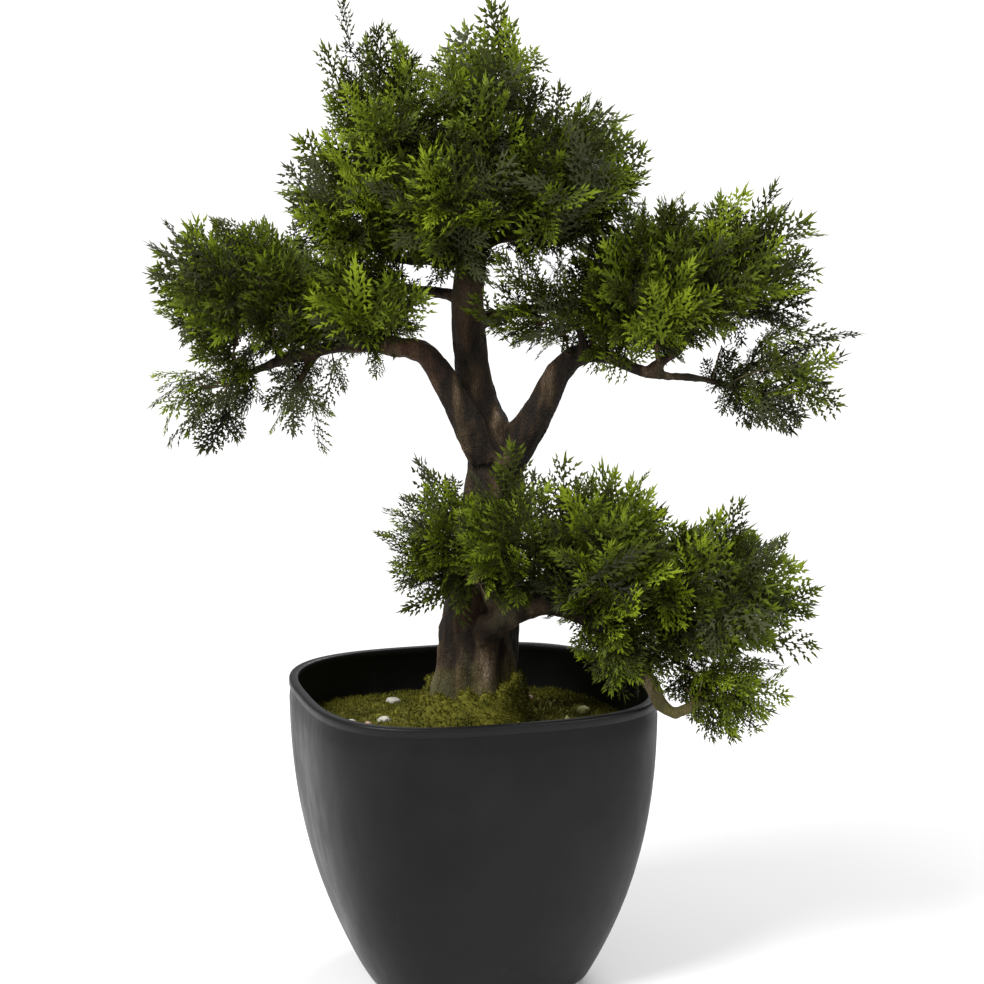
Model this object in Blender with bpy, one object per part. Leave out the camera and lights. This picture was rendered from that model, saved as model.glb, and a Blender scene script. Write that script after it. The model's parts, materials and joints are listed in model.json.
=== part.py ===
"""Artificial cedar bonsai in its planter, as closed solids.

The planter is a rounded-square pot that stands on the floor at Z = 0, centred on the Z axis. A plug and
a bed of moss fill it, and the tree stands on them: one trunk that runs up through the crown, tapering
boughs, and uneven masses of foliage. +X is to the right and -Y is to the front. Lengths are written in
millimetres and multiplied by MM.
"""

import math

import bmesh
import bpy
from mathutils import Vector, noise

MM = 0.001
GAP = 0.3
WELD = 0.01

# Planter: a rounded square that swells towards its mouth
MOUTH_HALF = 90.0
POT_HEIGHT = 154.0
POT_TURN = math.radians(16.5)
POT_SIDES = 32
MOUTH_SQUARENESS = 3.06
BASE_SQUARENESS = 3.26
BASE_DRAW_IN = 0.39
DRAW_IN_POWER = 2.4
HEEL_RADIUS = 5.5
HEEL_STEPS = 3
WALL = 3.0
FLOOR = 4.0
LIP_WIDTH = 4.6
LIP_HEIGHT = 3.2
LIP_ROUND = 0.9
WALL_LEVELS = (14.0, 28.0, 48.0, 76.0)

# Filling: a heavy plug below a mounded bed of moss
PLUG_TOP = 118.0
MOSS_EDGE = 128.0
MOSS_TOP = 131.0
MOSS_RINGS = (1.0, 0.86, 0.66, 0.46)

# Trunk: height, centre x, centre y, radius
TRUNK = (
    (MOSS_TOP + GAP, 3.5, 0.0, 27.5),
    (136.0, 3.0, 0.0, 25.5),
    (144.0, 2.6, 0.0, 23.8),
    (158.0, 3.0, 0.0, 22.4),
    (178.0, 4.4, 0.5, 20.9),
    (200.0, 5.8, 2.0, 19.0),
    (228.0, 9.0, 4.0, 17.0),
    (256.0, 12.3, 5.0, 15.6),
    (275.0, 12.0, 5.5, 14.4),
    (292.0, 7.6, 6.0, 12.2),
    (310.0, 1.7, 6.0, 9.9),
    (328.0, -0.4, 5.0, 9.2),
    (348.0, -1.2, 4.0, 8.8),
    (378.0, 0.6, 2.0, 7.2),
    (412.0, 3.6, 1.0, 5.2),
    (446.0, 7.0, 1.0, 2.8),
)
TRUNK_SIDES = 14
TRUNK_STEP = 16.0
FLUTES = 5
FLUTE_DEPTH = 0.10
FLUTE_TURN = 0.7
FLUTE_HEIGHT = 62.0
FLUTE_FADE = 1.5

# Boughs: x, y, z, radius along each one, from its root outwards. One that bends round a gap is split at
# the stations that bends numbers, into a rise, a reach and a hook.
BOUGH_STEP = 10.0
BOUGH_BEVEL_RESOLUTION = 2
SPLIT_STRAIGHT = 1.5
LIMB_NAMES = ("rise", "reach", "hook")
BOUGHS = {
    "bough_left": dict(bends=(4,), stations=(
        (9.0, -2.0, 272.0, 10.5),
        (0.0, -6.5, 288.5, 9.4),
        (-8.4, -8.5, 304.0, 8.2),
        (-15.8, -10.0, 317.5, 7.0),
        (-24.0, -12.0, 326.7, 6.3),
        (-38.0, -14.0, 329.5, 5.2),
        (-56.0, -17.0, 330.5, 4.3),
        (-74.0, -19.0, 328.0, 3.6),
        (-95.0, -21.0, 322.5, 2.9),
        (-118.0, -23.0, 313.0, 2.2),
    )),
    "bough_left_riser": dict(bends=(), stations=(
        (-91.0, -20.6, 323.5, 2.0),
        (-98.0, -20.0, 330.5, 2.2),
        (-103.0, -19.0, 341.0, 1.8),
    )),
    "bough_left_dropper": dict(bends=(), stations=(
        (-73.0, -19.0, 328.0, 2.2),
        (-80.0, -21.0, 321.0, 2.1),
        (-85.0, -23.0, 311.0, 1.7),
    )),
    "bough_right": dict(bends=(4,), stations=(
        (16.0, -1.0, 267.0, 11.0),
        (28.4, -4.0, 285.0, 9.6),
        (38.2, -6.5, 302.0, 8.1),
        (44.5, -8.5, 315.5, 6.8),
        (53.0, -10.5, 323.5, 5.9),
        (62.0, -12.0, 325.5, 5.0),
        (72.0, -13.0, 323.5, 4.2),
        (84.0, -14.0, 317.5, 3.3),
        (98.0, -15.0, 314.6, 2.7),
        (116.0, -15.0, 313.4, 2.4),
        (134.0, -16.0, 308.5, 2.1),
    )),
    "bough_right_riser": dict(bends=(), stations=(
        (88.0, -14.2, 316.4, 2.2),
        (94.0, -14.0, 320.0, 3.0),
        (103.0, -13.0, 326.0, 3.2),
        (112.0, -11.0, 336.0, 2.8),
        (118.0, -10.0, 345.0, 2.3),
    )),
    "bough_right_fan": dict(bends=(), stations=(
        (58.0, -11.5, 325.0, 2.8),
        (55.0, -16.0, 337.0, 2.5),
        (45.0, -21.0, 348.0, 1.9),
    )),
    "bough_low": dict(bends=(3, 7), stations=(
        (4.0, -8.0, 178.0, 9.4),
        (13.0, -22.0, 189.0, 8.4),
        (22.5, -31.0, 198.0, 7.6),
        (34.0, -38.0, 203.0, 6.8),
        (50.0, -44.0, 202.0, 5.8),
        (66.0, -50.0, 193.0, 5.0),
        (80.0, -55.0, 179.0, 4.3),
        (90.5, -59.0, 165.5, 3.7),
        (94.5, -59.5, 157.0, 3.5),
        (101.0, -58.5, 152.3, 3.4),
        (109.5, -56.0, 155.0, 3.2),
        (119.0, -52.0, 161.0, 2.6),
    )),
    "bough_low_branch": dict(bends=(), stations=(
        (52.0, -44.6, 201.0, 3.6),
        (68.0, -43.0, 207.0, 3.4),
        (88.0, -40.0, 210.0, 3.0),
        (110.0, -38.0, 212.0, 2.4),
    )),
    "bough_low_spur": dict(bends=(), stations=(
        (14.0, -20.0, 196.0, 4.6),
        (10.0, -32.0, 207.0, 4.2),
        (4.0, -43.0, 217.0, 3.4),
        (-9.0, -43.0, 227.0, 2.6),
    )),
    "bough_low_back": dict(bends=(), stations=(
        (16.0, 2.0, 186.0, 4.6),
        (34.0, 10.0, 198.0, 3.9),
        (54.0, 14.0, 208.0, 3.0),
    )),
    "bough_high_left": dict(bends=(), stations=(
        (0.0, 3.0, 376.0, 3.8),
        (-11.0, 2.0, 375.0, 3.2),
        (-24.0, -3.0, 371.0, 2.7),
        (-38.0, -8.0, 373.0, 2.3),
        (-48.0, -12.0, 382.0, 1.9),
    )),
    "bough_high_right": dict(bends=(), stations=(
        (1.0, 2.0, 377.0, 3.8),
        (19.0, -3.0, 383.5, 3.2),
        (37.0, -7.0, 386.5, 2.7),
        (49.0, -10.0, 394.0, 2.2),
    )),
    "bough_front_high": dict(bends=(), stations=(
        (1.0, 1.0, 388.0, 3.0),
        (-1.0, -12.0, 391.0, 2.6),
        (-5.0, -24.0, 397.0, 2.0),
    )),
    "bough_peak_left": dict(bends=(), stations=(
        (3.0, 1.0, 402.0, 3.2),
        (-12.0, -1.0, 411.0, 2.8),
        (-30.0, -3.0, 429.0, 2.1),
    )),
    "bough_back_left": dict(bends=(), stations=(
        (0.0, 4.0, 352.0, 4.2),
        (-14.0, 18.0, 354.0, 3.6),
        (-36.0, 32.0, 356.0, 2.9),
        (-60.0, 40.0, 357.0, 2.3),
    )),
    "bough_back_right": dict(bends=(), stations=(
        (1.0, 4.0, 340.0, 4.2),
        (18.0, 17.0, 343.0, 3.6),
        (44.0, 30.0, 347.0, 2.9),
        (70.0, 37.0, 350.0, 2.3),
    )),
    "bough_back_high": dict(bends=(), stations=(
        (2.0, 2.0, 386.0, 3.6),
        (0.0, 16.0, 391.0, 3.1),
        (-6.0, 30.0, 398.0, 2.4),
    )),
    "bough_back_high_right": dict(bends=(), stations=(
        (4.0, 1.0, 400.0, 3.0),
        (15.0, 14.0, 404.0, 2.6),
        (27.0, 26.0, 409.0, 2.0),
    )),
}

# Foliage: centre, half width, half depth, height above and below the centre, reach to the outer tips
MASS_FACET = 19.0
ROWS_PER_SEGMENT = 0.6
BROAD_LUMPS = 1.1
BROAD_LUMP_DEPTH = 0.21
FINE_LUMPS = 3.2
FINE_LUMP_DEPTH = 0.13
SEED_STEP = (7.3, 3.1, 5.7)
MASSES = {
    "mass_peak": dict(
        centre=(10, 0, 452), half=(30, 40), rise=38, drop=30,
        tips=((10, -8, 499), (27, -8, 481), (-6, -8, 490), (-24, -8, 476)),
    ),
    "mass_peak_left": dict(
        centre=(-46, -4, 450), half=(26, 40), rise=36, drop=32,
        tips=((-63, -8, 494), (-46, -8, 490), (-71, -8, 473)),
    ),
    "mass_crown_left": dict(
        centre=(-57, -18, 405), half=(33, 44), rise=34, drop=32,
        tips=((-86, -10, 433), (-91, -8, 421), (-89, -10, 399)),
    ),
    "mass_crown_front": dict(
        centre=(-8, -36, 406), half=(34, 34), rise=34, drop=36,
        tips=(),
    ),
    "mass_crown_back": dict(
        centre=(-22, 44, 412), half=(46, 34), rise=38, drop=36,
        tips=((-40, 58, 452), (-66, 52, 416)),
    ),
    "mass_crown_right": dict(
        centre=(54, -14, 422), half=(34, 44), rise=34, drop=38,
        tips=((66, -8, 456), (78, -8, 449), (90, -8, 430)),
    ),
    "mass_crown_right_back": dict(
        centre=(42, 40, 414), half=(40, 34), rise=36, drop=36,
        tips=((58, 50, 448), (78, 52, 410)),
    ),
    "mass_left_inner": dict(
        centre=(-56, -20, 357), half=(34, 44), rise=26, drop=26,
        tips=(),
    ),
    "mass_left_outer": dict(
        centre=(-116, -20, 364), half=(40, 46), rise=32, drop=36,
        tips=((-154, -20, 393), (-160, -20, 369), (-104, -20, 402), (-143, -20, 336)),
    ),
    "mass_left_back": dict(
        centre=(-92, 42, 360), half=(50, 34), rise=28, drop=28,
        tips=((-138, 54, 376), (-84, 74, 362)),
    ),
    "mass_left_droop": dict(
        centre=(-134, -24, 303), half=(28, 28), rise=24, drop=28,
        tips=((-161, -22, 291), (-130, -22, 274)),
    ),
    "mass_left_droop_inner": dict(
        centre=(-88, -25, 301), half=(19, 22), rise=17, drop=19,
        tips=((-69, -24, 294), (-76, -24, 282)),
    ),
    "mass_right_fan": dict(
        centre=(34, -24, 357), half=(32, 32), rise=26, drop=21,
        tips=((13, -24, 374), (25, -24, 336)),
    ),
    "mass_right_inner": dict(
        centre=(84, -20, 366), half=(37, 44), rise=42, drop=44,
        tips=((97, -15, 416), (79, -15, 412)),
    ),
    "mass_right_outer": dict(
        centre=(138, -14, 370), half=(34, 44), rise=37, drop=36,
        tips=((135, -15, 411), (156, -15, 410), (171, -15, 393), (168, -15, 376)),
    ),
    "mass_right_back": dict(
        centre=(104, 42, 364), half=(50, 34), rise=36, drop=32,
        tips=((120, 56, 402), (152, 50, 366)),
    ),
    "mass_right_droop": dict(
        centre=(160, -16, 315), half=(32, 32), rise=28, drop=32,
        tips=((191, -15, 345), (191, -15, 320), (176, -15, 290), (153, -15, 279), (124, -15, 299)),
    ),
    "mass_low_left": dict(
        centre=(-20, -34, 237), half=(20, 34), rise=34, drop=36,
        tips=((-24, -40, 276), (-43, -40, 221), (-30, -40, 198)),
    ),
    "mass_low_front": dict(
        centre=(17, -52, 243), half=(26, 30), rise=32, drop=34,
        tips=((21, -44, 284),),
    ),
    "mass_low_middle": dict(
        centre=(69, -44, 236), half=(36, 46), rise=34, drop=38,
        tips=((64, -40, 278), (85, -40, 271), (44, -40, 272)),
    ),
    "mass_low_right": dict(
        centre=(126, -40, 214), half=(40, 46), rise=36, drop=36,
        tips=((123, -40, 254), (146, -40, 240), (173, -40, 213), (174, -40, 182)),
    ),
    "mass_low_inner": dict(
        centre=(82, -46, 181), half=(30, 36), rise=22, drop=24,
        tips=(),
    ),
    "mass_low_droop": dict(
        centre=(134, -46, 161), half=(30, 30), rise=20, drop=22,
        tips=((156, -40, 148), (137, -40, 131), (164, -40, 161)),
    ),
    "mass_low_back": dict(
        centre=(78, 16, 224), half=(44, 28), rise=28, drop=30,
        tips=((106, 38, 230), (60, 38, 212)),
    ),
}

# Materials: base colour, roughness, metallic
FINISHES = {
    "charcoal_plastic": ((0.028, 0.029, 0.031), 0.5, 0.0),
    "grey_plug": ((0.30, 0.28, 0.25), 0.95, 0.0),
    "moss": ((0.12, 0.13, 0.025), 0.95, 0.0),
    "bark": ((0.11, 0.075, 0.05), 0.85, 0.0),
    "foliage": ((0.07, 0.13, 0.02), 0.7, 0.0),
}


def clear_scene():
    for old in list(bpy.data.objects):
        bpy.data.objects.remove(old, do_unlink=True)


def new_collection(name):
    collection = bpy.data.collections.new(name)
    bpy.context.scene.collection.children.link(collection)
    return collection


def finish(part_name, finish_name):
    colour, roughness, metallic = FINISHES[finish_name]
    material = bpy.data.materials.new(part_name + "_finish")
    material.use_nodes = True
    shader = material.node_tree.nodes["Principled BSDF"]
    shader.inputs["Base Color"].default_value = (*colour, 1.0)
    shader.inputs["Roughness"].default_value = roughness
    shader.inputs["Metallic"].default_value = metallic
    return material


def place(mesh, name, collection, finish_name):
    part = bpy.data.objects.new(name, mesh)
    collection.objects.link(part)
    if finish_name:
        mesh.materials.append(finish(name, finish_name))
    return part


def hide_as_cutter(cutter):
    cutter.hide_render = True
    cutter.display_type = "WIRE"


def cut(part, cutter):
    """The EXACT difference of a part and one cutter, kept as a modifier."""
    boolean = part.modifiers.new("clear_of_" + cutter.name, "BOOLEAN")
    boolean.operation = "DIFFERENCE"
    boolean.solver = "EXACT"
    boolean.object = cutter


def loft(name, rings, collection, finish_name):
    """A closed skin over rings of equal length, with a flat face on the first and the last."""
    shape = bmesh.new()
    rows = [[shape.verts.new(Vector(point) * MM) for point in ring] for ring in rings]
    count = len(rows[0])
    for low, high in zip(rows, rows[1:]):
        for i in range(count):
            j = (i + 1) % count
            shape.faces.new((low[i], low[j], high[j], high[i]))
    shape.faces.new(list(reversed(rows[0])))
    shape.faces.new(rows[-1])
    bmesh.ops.recalc_face_normals(shape, faces=shape.faces)
    mesh = bpy.data.meshes.new(name)
    shape.to_mesh(mesh)
    shape.free()
    return place(mesh, name, collection, finish_name)


def smooth_path(stations, step):
    """Points about one step apart on a smooth curve through the stations, each with its radius."""
    points = []
    last = len(stations) - 1
    for k in range(last):
        before, start, end, after = (stations[min(max(k + shift, 0), last)] for shift in (-1, 0, 1, 2))
        pieces = max(1, round(math.dist(start[:3], end[:3]) / step))
        for piece in range(pieces):
            t = piece / pieces
            points.append([
                0.5 * (2 * b + (c - a) * t + (2 * a - 5 * b + 4 * c - d) * t ** 2 + (3 * b - a - 3 * c + d) * t ** 3)
                for a, b, c, d in zip(before, start, end, after)
            ])
    points.append(list(stations[-1]))
    return points


def pot_half_width(height):
    """Half the planter's outer width at a height: drawn in towards the base, with a rounded heel."""
    drawn_in = BASE_DRAW_IN * (1 - height / POT_HEIGHT) ** DRAW_IN_POWER
    width = MOUTH_HALF * (1 - drawn_in)
    if height < HEEL_RADIUS:
        inward = HEEL_RADIUS - height
        width -= HEEL_RADIUS - math.sqrt(HEEL_RADIUS ** 2 - inward ** 2)
    return width


def pot_ring(height, half_width):
    """A level rounded square of the planter at its own turn about Z."""
    squareness = BASE_SQUARENESS + (MOUTH_SQUARENESS - BASE_SQUARENESS) * height / POT_HEIGHT
    ring = []
    for side in range(POT_SIDES):
        angle = 2 * math.pi * side / POT_SIDES
        x = math.copysign(abs(math.cos(angle)) ** (2 / squareness), math.cos(angle)) * half_width
        y = math.copysign(abs(math.sin(angle)) ** (2 / squareness), math.sin(angle)) * half_width
        ring.append((
            x * math.cos(POT_TURN) - y * math.sin(POT_TURN),
            x * math.sin(POT_TURN) + y * math.cos(POT_TURN),
            height,
        ))
    return ring


def build_pot(collection):
    heel = [HEEL_RADIUS * (1 - math.cos(0.5 * math.pi * k / HEEL_STEPS)) for k in range(HEEL_STEPS + 1)]
    outer = [(height, pot_half_width(height)) for height in (*heel, *WALL_LEVELS, MOSS_EDGE)]
    outer.append((POT_HEIGHT - LIP_ROUND, MOUTH_HALF))
    lip = [
        (POT_HEIGHT, MOUTH_HALF - LIP_ROUND),
        (POT_HEIGHT, MOUTH_HALF - LIP_WIDTH + LIP_ROUND),
        (POT_HEIGHT - LIP_ROUND, MOUTH_HALF - LIP_WIDTH),
        (POT_HEIGHT - LIP_HEIGHT, MOUTH_HALF - LIP_WIDTH),
        (POT_HEIGHT - LIP_HEIGHT - LIP_ROUND, MOUTH_HALF - WALL),
    ]
    inner_levels = (MOSS_EDGE, PLUG_TOP, *reversed(WALL_LEVELS), FLOOR)
    inner = [(height, inner_half_width(height)) for height in inner_levels]
    profile = outer + lip + inner
    loft("pot", [pot_ring(height, width) for height, width in profile], collection, "charcoal_plastic")


def inner_half_width(height):
    return pot_half_width(max(height, HEEL_RADIUS)) - WALL


def build_plug(collection):
    rings = [pot_ring(level, inner_half_width(level) - GAP) for level in (FLOOR, *WALL_LEVELS, PLUG_TOP)]
    rings[0] = [(x, y, FLOOR + GAP) for x, y, _ in rings[0]]
    loft("plug", rings, collection, "grey_plug")


def build_moss(collection):
    """A low mound: flat below, level at the wall and flat again under the trunk."""
    wall = inner_half_width(PLUG_TOP) - GAP
    edge = pot_ring(MOSS_EDGE, wall)
    rings = [[(x, y, PLUG_TOP + GAP) for x, y, _ in edge]]
    for share in MOSS_RINGS:
        swell = 0.5 - 0.5 * math.cos(math.pi * (1 - share) / (1 - MOSS_RINGS[-1]))
        height = MOSS_EDGE + (MOSS_TOP - MOSS_EDGE) * swell
        rings.append([(x * share, y * share, height) for x, y, _ in edge])
    loft("moss_bed", rings, collection, "moss")


def trunk_rings(swell):
    """Sections of the trunk, fluted at the root and round above, grown outwards by swell."""
    stations = [(x, y, z, radius) for z, x, y, radius in TRUNK]
    rings = []
    for x, y, z, radius in smooth_path(stations, TRUNK_STEP):
        above_root = z - TRUNK[0][0]
        flute = FLUTE_DEPTH * max(0.0, 1 - above_root / FLUTE_HEIGHT) ** FLUTE_FADE
        ring = []
        for side in range(TRUNK_SIDES):
            angle = 2 * math.pi * side / TRUNK_SIDES
            reach = radius * (1 + flute * math.cos(FLUTES * angle + FLUTE_TURN)) + swell
            ring.append((x + reach * math.cos(angle), y + reach * math.sin(angle), z))
        rings.append(ring)
    return rings


def build_trunk(parts, cutters):
    loft("trunk", trunk_rings(0.0), parts, "bark")
    rings = trunk_rings(GAP)
    above = [(x, y, z + GAP) for x, y, z in rings[-1]]
    cutter = loft("trunk_room", [*rings, above], cutters, None)
    hide_as_cutter(cutter)
    return cutter


def tube(name, points, collection, finish_name):
    """A round tapering limb: a bevelled curve with flat ends, turned into a closed mesh."""
    curve = bpy.data.curves.new(name + "_path", "CURVE")
    curve.dimensions = "3D"
    curve.bevel_depth = MM
    curve.bevel_resolution = BOUGH_BEVEL_RESOLUTION
    curve.use_fill_caps = True
    spline = curve.splines.new("POLY")
    spline.points.add(len(points) - 1)
    for target, (x, y, z, radius) in zip(spline.points, points):
        target.co = (x * MM, y * MM, z * MM, 1.0)
        target.radius = radius
    guide = bpy.data.objects.new(name + "_path", curve)
    collection.objects.link(guide)
    bpy.context.view_layer.update()
    evaluated = guide.evaluated_get(bpy.context.evaluated_depsgraph_get())
    mesh = bpy.data.meshes.new_from_object(evaluated)
    mesh.name = name
    place_in_world = guide.matrix_world.copy()
    bpy.data.objects.remove(guide, do_unlink=True)
    mesh.materials.clear()
    shape = bmesh.new()
    shape.from_mesh(mesh)
    bmesh.ops.remove_doubles(shape, verts=shape.verts, dist=WELD * MM)
    bmesh.ops.recalc_face_normals(shape, faces=shape.faces)
    shape.to_mesh(mesh)
    shape.free()
    limb = place(mesh, name, collection, finish_name)
    limb.matrix_world = place_in_world
    return limb


def along(point, direction, length):
    x, y, z, radius = point
    return (x + direction.x * length, y + direction.y * length, z + direction.z * length, radius)


def swollen(points):
    """The points of a limb's room: wider by the gap all round and longer by it at both ends."""
    grown = [(x, y, z, radius + GAP) for x, y, z, radius in points]
    root = (Vector(grown[0][:3]) - Vector(grown[1][:3])).normalized()
    tip = (Vector(grown[-1][:3]) - Vector(grown[-2][:3])).normalized()
    return [along(grown[0], root, GAP), *grown[1:-1], along(grown[-1], tip, GAP)]


def limbs_of(name, bough):
    """A bough's limbs by name. Two limbs that follow each other have parallel faces one gap apart."""
    stations = bough["stations"]
    rest = smooth_path(stations, BOUGH_STEP)
    limbs = []
    for bend in bough["bends"]:
        at = min(range(len(rest)), key=lambda k: math.dist(rest[k][:3], stations[bend][:3]))
        onward = (Vector(rest[at + 1][:3]) - Vector(rest[at - 1][:3])).normalized()
        limbs.append([*rest[:at], along(rest[at], onward, -SPLIT_STRAIGHT), along(rest[at], onward, 0.0)])
        start = (along(rest[at], onward, GAP), along(rest[at], onward, GAP + SPLIT_STRAIGHT))
        rest = [*start, *rest[at + 1:]]
    limbs.append(rest)
    if len(limbs) == 1:
        return {name: rest}
    return {f"{name}_{part}": points for part, points in zip(LIMB_NAMES, limbs)}


def build_boughs(parts, cutters, trunk_cutter):
    """Each bough starts on the trunk or on an earlier bough, which it is cut clear of."""
    rooms = []
    for name, bough in BOUGHS.items():
        earlier = (trunk_cutter, *rooms)
        for limb_name, points in limbs_of(name, bough).items():
            limb = tube(limb_name, points, parts, "bark")
            for room in earlier:
                if boxes_meet(limb, room):
                    cut(limb, room)
            room = tube(limb_name + "_room", swollen(points), cutters, None)
            hide_as_cutter(room)
            rooms.append(room)
    return rooms


def corners(item):
    points = [item.matrix_world @ Vector(corner) for corner in item.bound_box]
    low = [min(point[k] for point in points) for k in range(3)]
    high = [max(point[k] for point in points) for k in range(3)]
    return low, high


def boxes_meet(first, second):
    (low_a, high_a), (low_b, high_b) = corners(first), corners(second)
    return all(low_a[k] < high_b[k] and low_b[k] < high_a[k] for k in range(3))


def mass_radius(mass, direction):
    """Distance from a mass's centre to its plain outer form: an ellipsoid flatter above or below."""
    half_x, half_y = mass["half"]
    half_z = mass["rise"] if direction.z > 0 else mass["drop"]
    return 1 / math.sqrt((direction.x / half_x) ** 2 + (direction.y / half_y) ** 2 + (direction.z / half_z) ** 2)


def unevenness(direction, order):
    """How far a mass's skin stands out from its plain form, or in from it, in one direction."""
    own_pattern = Vector(SEED_STEP) * order
    broad = noise.noise(direction * BROAD_LUMPS + own_pattern)
    fine = noise.noise(direction * FINE_LUMPS + own_pattern.zxy)
    return 1 + BROAD_LUMP_DEPTH * broad + FINE_LUMP_DEPTH * fine


def dividing_planes(name):
    """For each other mass: the direction to it, and how far this mass may reach that way."""
    mass = MASSES[name]
    centre = Vector(mass["centre"])
    planes = []
    for other_name, other in MASSES.items():
        if other_name == name:
            continue
        towards = Vector(other["centre"]) - centre
        distance = towards.length
        towards.normalize()
        own = mass_radius(mass, towards)
        share = own / (own + mass_radius(other, -towards))
        planes.append((towards, distance * share - 0.5 * GAP))
    return planes


def build_mass(name, order, parts, rooms):
    mass = MASSES[name]
    centre = Vector(mass["centre"])
    planes = dividing_planes(name)
    shape = bmesh.new()
    girth = math.pi * sum(mass["half"])
    segments = 2 * round(0.5 * girth / MASS_FACET)
    rows = round(ROWS_PER_SEGMENT * segments)
    bmesh.ops.create_uvsphere(shape, u_segments=segments, v_segments=rows, radius=1.0)
    directions = {vert: vert.co.normalized() for vert in shape.verts}
    reach = {vert: mass_radius(mass, way) * unevenness(way, order) for vert, way in directions.items()}
    for tip in mass["tips"]:
        towards = Vector(tip) - centre
        nearest = max(directions, key=lambda vert: directions[vert].dot(towards.normalized()))
        directions[nearest] = towards.normalized()
        reach[nearest] = towards.length
    for vert, direction in directions.items():
        for towards, limit in planes:
            ahead = direction.dot(towards)
            if ahead > 0:
                reach[vert] = min(reach[vert], limit / ahead)
        vert.co = (centre + direction * reach[vert]) * MM
    bmesh.ops.recalc_face_normals(shape, faces=shape.faces)
    bmesh.ops.triangulate(shape, faces=shape.faces)
    mesh = bpy.data.meshes.new(name)
    shape.to_mesh(mesh)
    shape.free()
    body = place(mesh, name, parts, "foliage")
    bpy.context.view_layer.update()
    for room in rooms:
        if boxes_meet(body, room):
            cut(body, room)


def main():
    clear_scene()
    parts = new_collection("cedar_bonsai")
    cutters = new_collection("cutters")
    build_pot(parts)
    build_plug(parts)
    build_moss(parts)
    trunk_cutter = build_trunk(parts, cutters)
    bough_rooms = build_boughs(parts, cutters, trunk_cutter)
    for order, name in enumerate(MASSES):
        build_mass(name, order, parts, (trunk_cutter, *bough_rooms))


main()
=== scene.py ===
"""Looks of an artificial cedar bonsai in its planter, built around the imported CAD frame.

The trunk and the boughs get one skin with the bark's relief. Every mass of foliage becomes twigs that branch
out from the boughs and carry flat cedar sprays. The planter, the moss and its pebbles get finer meshes.
Lengths are in metres. +X is to the right, -Y to the front and +Z up.
"""

import json
import math

import bmesh
import bpy
import numpy as np
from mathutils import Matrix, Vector, noise

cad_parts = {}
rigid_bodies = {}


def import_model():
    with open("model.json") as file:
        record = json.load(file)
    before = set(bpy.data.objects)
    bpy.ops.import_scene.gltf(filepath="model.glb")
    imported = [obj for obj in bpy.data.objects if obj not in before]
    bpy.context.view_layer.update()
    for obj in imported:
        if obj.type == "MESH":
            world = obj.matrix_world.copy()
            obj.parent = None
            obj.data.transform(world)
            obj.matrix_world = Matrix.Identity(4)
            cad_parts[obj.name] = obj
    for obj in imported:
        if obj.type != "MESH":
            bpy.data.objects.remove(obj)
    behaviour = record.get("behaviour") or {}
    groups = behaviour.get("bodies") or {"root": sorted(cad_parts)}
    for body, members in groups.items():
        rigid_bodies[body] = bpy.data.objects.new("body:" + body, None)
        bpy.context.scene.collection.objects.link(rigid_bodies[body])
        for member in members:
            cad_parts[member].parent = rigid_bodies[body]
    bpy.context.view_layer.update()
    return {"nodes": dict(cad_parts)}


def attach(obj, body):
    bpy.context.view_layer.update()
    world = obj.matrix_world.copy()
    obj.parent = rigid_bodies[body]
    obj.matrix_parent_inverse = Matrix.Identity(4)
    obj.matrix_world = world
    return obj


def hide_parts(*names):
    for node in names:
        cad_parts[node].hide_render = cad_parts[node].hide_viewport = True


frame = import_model()

MM = 0.001
SEED = 11

# Planter: a rounded square that swells towards its mouth
MOUTH_HALF = 90.0 * MM
POT_HEIGHT = 154.0 * MM
POT_TURN = math.radians(16.5)
POT_SIDES = 144
MOUTH_SQUARENESS = 3.06
BASE_SQUARENESS = 3.26
BASE_DRAW_IN = 0.39
DRAW_IN_POWER = 2.4
HEEL_RADIUS = 5.5 * MM
WALL = 3.0 * MM
FLOOR = 4.0 * MM
LIP_WIDTH = 4.6 * MM
LIP_HEIGHT = 3.2 * MM
LIP_ROUND = 1.2 * MM
LIP_STEP = 0.7 * MM
LIP_STEP_RISES = (0.5 * MM, 0.9 * MM)
LIP_BAND = 5.0 * MM
INNER_WALL_HEIGHTS = (76.0 * MM, 48.0 * MM, 28.0 * MM, 14.0 * MM)
ROUND_STEPS = 5
WALL_STEPS = 26

# Moss: it lies on the filling, meets the wall and climbs the trunk's flare
MOSS_FLOOR = 118.5 * MM
MOSS_EDGE = 128.5 * MM
MOSS_LEVEL = 131.5 * MM
MOSS_SIDES = 220
MOSS_CLIMB_ROWS = 16
MOSS_BED_ROWS = 44
MOSS_BUMP = 1.5 * MM
MOSS_LUMP_SCALE = 95.0
MOSS_RAGGED = 8.0 * MM
MOSS_SWELL = 2.2 * MM
MOSS_COAT = 0.9 * MM
MOSS_LUMP = 1.2 * MM
MOSS_TUCK = 2.5 * MM
MOSS_HEAP = 1.6 * MM
MOSS_SIDE = 4.0 * MM
MOSS_GAP = 0.2 * MM
MOSS_TOP_RING = 6.0 * MM
MOSS_LOW_RING = 4.0 * MM
BED_START = 3.4 * MM
TRUNK_FOOT = (1.2 * MM, -1.0 * MM)
TRUNK_FOOT_RADIUS = 29.4 * MM
TRUNK_CLIMB_RADIUS = 24.4 * MM
MOSS_CLIMB_LEFT = 147.0 * MM
MOSS_CLIMB_RIGHT = 158.0 * MM
MOSS_CLIMB_TOP = 170.0 * MM
TUFT_COUNT_PER_AREA = 300000.0
TUFT_HEIGHT = 2.3 * MM
TUFT_DEPTH = 3.0 * MM
TUFT_SLOPE = -0.2

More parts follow.
